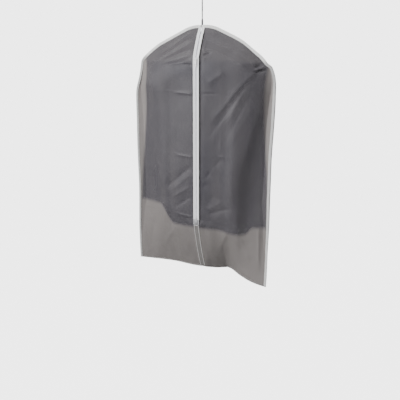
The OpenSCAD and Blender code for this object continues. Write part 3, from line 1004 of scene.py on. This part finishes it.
def coil(name, side):
    """One half of the closed coil: a flattened helix of monofilament along the tape's edge."""
    turns = int((COIL_END - COIL_START) / COIL_PITCH)
    line, out = zip_line(COIL_START, COIL_END, lift=TAPE_T + COIL_DEPTH + 0.05 * MM)
    rows = np.arange(len(line))
    along = np.linspace(0, len(line) - 1, turns * COIL_TURN)
    at = sampled(line, rows, along)
    facing = unit(sampled(out, rows, along))
    turn = np.arange(len(at)) * math.tau / COIL_TURN + (math.pi if side > 0 else 0)
    at = at + facing * (np.sin(turn) * COIL_DEPTH * 0.72)[:, None]
    at[:, 0] += side * (COIL_X - COIL_REACH * np.cos(turn))
    ahead = tangents(at)
    first = unit(np.cross(ahead, facing))
    second = np.cross(ahead, first)
    return sweep(name, at, first, second, round_section(COIL_WIRE, COIL_WIRE, 6))


def strip_edges(side, inner, outer):
    """The left and right edge of a strip on that side of the middle."""
    return sorted((side * inner, side * outer))


for side, word in SIDES:
    x0, x1 = strip_edges(side, TAPE_GAP, TAPE_HALF)
    tape = zip_strip(f"zip_tape_weave_{word}", x0, x1, 0.5 * MM, ZIP_END, 0.02 * MM, TAPE_T)
    piece(tape, TAPE, [f"zip_tape_{word}"])
    x0, x1 = strip_edges(side, BAND_HALF - FACING_W, BAND_HALF)
    facing = zip_strip(
        f"zip_facing_fold_{word}", x0, x1, 0.2 * MM, ZIP_END, TAPE_T, FACING_OUT, FACING_SWELL, FACING_WAVER
    )
    piece(facing, FACING, [f"zip_facing_{word}"])
    piece(coil(f"zip_coil_wound_{word}", side), COIL, [f"zip_coil_{word}"])
    rows = []
    for x in (BAND_HALF - FACING_W + 0.9 * MM, BAND_HALF - 1.0 * MM):
        line, out = zip_line(3 * MM, ZIP_END - 2 * MM, lift=1.2 * MM, x=side * x)
        rows.append(stitch_row(line, out, *ZIP_STITCH))
    piece(joined(f"zip_stitches_{word}", rows), THREAD)

# ---- patch below the zip, and the film strip that closes the front down to the hem ----

STRIP_HALF = 12 * MM
STRIP_END = HEIGHT - HEM_H
WELD_X = 9.4 * MM
WELD_HALF = 1.5 * MM
WELD_START = ZIP_END + 26 * MM
PATCH_HALF = 12 * MM
PATCH_H = 27 * MM
PATCH_T = 0.6 * MM
PLATE_LIFT = 0.7 * MM
RIM_LIFT = 0.9 * MM
RIM_R = 1.6 * MM

strip = zip_strip("centre_film_strip", -STRIP_HALF, STRIP_HALF, ZIP_END, STRIP_END, 0.05 * MM, 0.5 * MM)
point_value(strip, "pale", 0.0)
piece(strip, FOLDED_FILM, ["centre_seam_strip"])
for side, word in SIDES:
    x0, x1 = strip_edges(side, WELD_X - WELD_HALF, WELD_X + WELD_HALF)
    bead = zip_strip(f"centre_weld_{word}", x0, x1, WELD_START, STRIP_END, 0.4 * MM, 0.7 * MM, 0.9 * MM)
    piece(bead, WELD)


def patch_point(x, drop, lift):
    line, out = zip_line(drop, drop + 1 * MM, lift=lift)
    return line[0] + [x, 0, 0], out[0]


def zip_end_box():
    """A thin plate with a rounded foot, and a raised rim down its sides and round the foot."""
    foot = PATCH_HALF * 0.7
    foot_drop = ZIP_END + PATCH_H - foot
    inset = PATCH_HALF - RIM_R
    down = np.linspace(ZIP_END + 0.5 * MM, foot_drop, 8)
    turns = np.linspace(0, math.pi, 19)[1:-1]
    outline = [(-inset, drop) for drop in down]
    outline += [(-inset * math.cos(a), foot_drop + (foot - RIM_R) * math.sin(a)) for a in turns]
    outline += [(inset, drop) for drop in down[::-1]]
    places = [patch_point(x, drop, RIM_LIFT) for x, drop in outline]
    line = resample(np.array([at for at, _ in places]), 0.7 * MM)
    ahead = tangents(line)
    across = unit(np.cross(ahead, places[0][1]))
    lift = unit(np.cross(across, ahead))
    rim = sweep("zip_end_rim", line, across, lift, round_section(RIM_R, 0.55 * RIM_R, 10))
    middle = (0, ZIP_END + PATCH_H * 0.5)
    points = [patch_point(x, drop, PLATE_LIFT)[0] for x, drop in [middle] + outline]
    count = len(outline)
    faces = [(0, i, i % count + 1) for i in range(1, count + 1)]
    plate = mesh_object("zip_end_plate", points, faces)
    thicken(plate, PATCH_T)
    return plate, rim


plate, rim = zip_end_box()
piece(plate, PATCH, ["zip_end_patch"])
piece(rim, RIM)

# ---- hanger ----

NECK_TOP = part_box("hanger_ferrule")[0][2]
ARM_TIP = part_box("hanger_arm_right")[1][0]
# An arm's centre line and size, in mm: x, y, drop below the neck's top, half thickness and half height.
ARM_SECTIONS = [
    (0, 0, 17, 8, 17), (30, 0, 22, 8.5, 13), (70, 0, 37, 9, 12), (110, -1, 54, 9.5, 12),
    (150, -3, 74, 12, 12), (180, -5.5, 92, 16, 12.5), (205, -8, 112, 20, 11), (220, -9.5, 123, 17, 8),
]
ARM_NOSE = 12 * MM  # length over which an arm rounds off at its tip
ARM_SQUARENESS = 0.8  # 1 makes its section an oval, and less makes it squarer


def hanger_arm(side, name):
    knots = np.array(ARM_SECTIONS, float) * MM
    x = ARM_TIP - (ARM_TIP - knots[0, 0]) * np.linspace(1, 0, 90) ** 1.3
    y, fall, thick, high = (curve_through(knots[:, [0, k]], x) for k in range(1, 5))
    nose = np.sqrt(np.clip(1 - ((x - ARM_TIP + ARM_NOSE) / ARM_NOSE).clip(0, 1) ** 2, 0.002, 1))
    line = np.stack([side * x, y, NECK_TOP - fall], axis=1)
    across = repeated((0.0, 1.0, 0.0), line)
    depth = unit(np.cross(tangents(line), across))
    around = np.array(round_section(1, 1, 32))
    corners = np.sign(around) * np.abs(around) ** ARM_SQUARENESS
    sections = corners[None] * np.stack([thick * nose, high * nose], axis=1)[:, None]
    return sweep(name, line, across, depth, sections)


for side, word in SIDES:
    piece(hanger_arm(side, f"hanger_arm_moulded_{word}"), HANGER, [f"hanger_arm_{word}"])

# ---- CAD parts that keep their own shape ----

WORN = {"zip_top_stops": STOP, "zip_bottom_stop": STOP, "zip_slider": SLIDER, "zip_pull_tab": SLIDER}
KEPT = {**WORN, "hanger_ferrule": STEEL, "hook": STEEL, "hook_sleeve": SLEEVE}
WORN_EDGE = 0.25 * MM

for node_name, material in KEPT.items():
    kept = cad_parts[node_name]
    kept.data.materials.clear()
    kept.data.materials.append(material)
    if node_name in WORN:
        edges = kept.modifiers.new("worn_edges", "BEVEL")
        edges.width = WORN_EDGE
        edges.segments = 3

# ---- stage ----

SKY_LIGHT = 0.4  # how much the white studio lights the bag
SKY_SEEN = 4.0  # how bright its walls and floor look behind the bag
FLOOR_Z = -2.2
FLOOR_HALF = 30
# Soft square lights: name, place, what each points at, width, and power in watts.
LIGHTS = [
    ("key", (-2.05, -2.45, 0.5), (0, 0, -0.5), 2.2, 190),
    ("top", (0.2, -1.9, 2.6), (0, 0, -0.4), 1.8, 86),
    ("back", (1.2, 2.8, 1.0), (0, 0, -0.5), 2.0, 110),
]


def seen_brightness(tree):
    """SKY_SEEN where the camera sees the studio, and SKY_LIGHT where it only lights the bag."""
    seen = tree.nodes.new("ShaderNodeLightPath")
    brightness = tree.nodes.new("ShaderNodeMapRange")
    brightness.inputs["To Min"].default_value = SKY_LIGHT
    brightness.inputs["To Max"].default_value = SKY_SEEN
    tree.links.new(seen.outputs["Is Camera Ray"], brightness.inputs["Value"])
    return brightness.outputs[0]


def stage_material(name):
    paint = Paint(name, roughness=0.9, specular=0.2)
    paint.colour((0.05, 0.05, 0.05))
    mottled = paint.mix(paint.ramp(paint.noise(3, 4), 0.3, 0.7), (1, 1, 1), (0.985, 0.985, 0.985))
    paint.links.new(mottled, paint.shader.inputs["Emission Color"])
    paint.links.new(seen_brightness(paint.material.node_tree), paint.shader.inputs["Emission Strength"])
    return paint.material


corners = [(x * FLOOR_HALF, y * FLOOR_HALF, FLOOR_Z) for x, y in ((-1, -1), (1, -1), (1, 1), (-1, 1))]
floor = mesh_object("floor", corners, [(0, 1, 2, 3)])
floor.data.materials.append(stage_material("pale_floor"))

world = bpy.data.worlds.new("studio")
world.use_nodes = True
sky = world.node_tree.nodes["Background"]
sky.inputs["Color"].default_value = (1.0, 1.0, 1.0, 1)
world.node_tree.links.new(seen_brightness(world.node_tree), sky.inputs["Strength"])
bpy.context.scene.world = world


def area_light(name, at, aim, size, power):
    data = bpy.data.lights.new(name, "AREA")
    data.shape = "SQUARE"
    data.size = size
    data.energy = power
    lamp = bpy.data.objects.new(name, data)
    lamp.location = at
    lamp.rotation_euler = (Vector(aim) - Vector(at)).to_track_quat("-Z", "Y").to_euler()
    bpy.context.scene.collection.objects.link(lamp)


for light in LIGHTS:
    area_light(*light)

# ---- camera ----

CAMERA_AT = (0.816, -1.942, -0.231)
CAMERA_AZIMUTH = math.radians(23.03)
CAMERA_PITCH = math.radians(14.82)
CAMERA_LENS = 46.58  # mm, on a sensor 36 mm wide
CAMERA_SENSOR = 36

camera_data = bpy.data.cameras.new("camera")
camera_data.lens = CAMERA_LENS
camera_data.sensor_width = CAMERA_SENSOR
camera = bpy.data.objects.new("camera", camera_data)
camera.location = CAMERA_AT
camera.rotation_euler = Euler((math.pi / 2 - CAMERA_PITCH, 0, CAMERA_AZIMUTH))
bpy.context.scene.collection.objects.link(camera)
bpy.context.scene.camera = camera
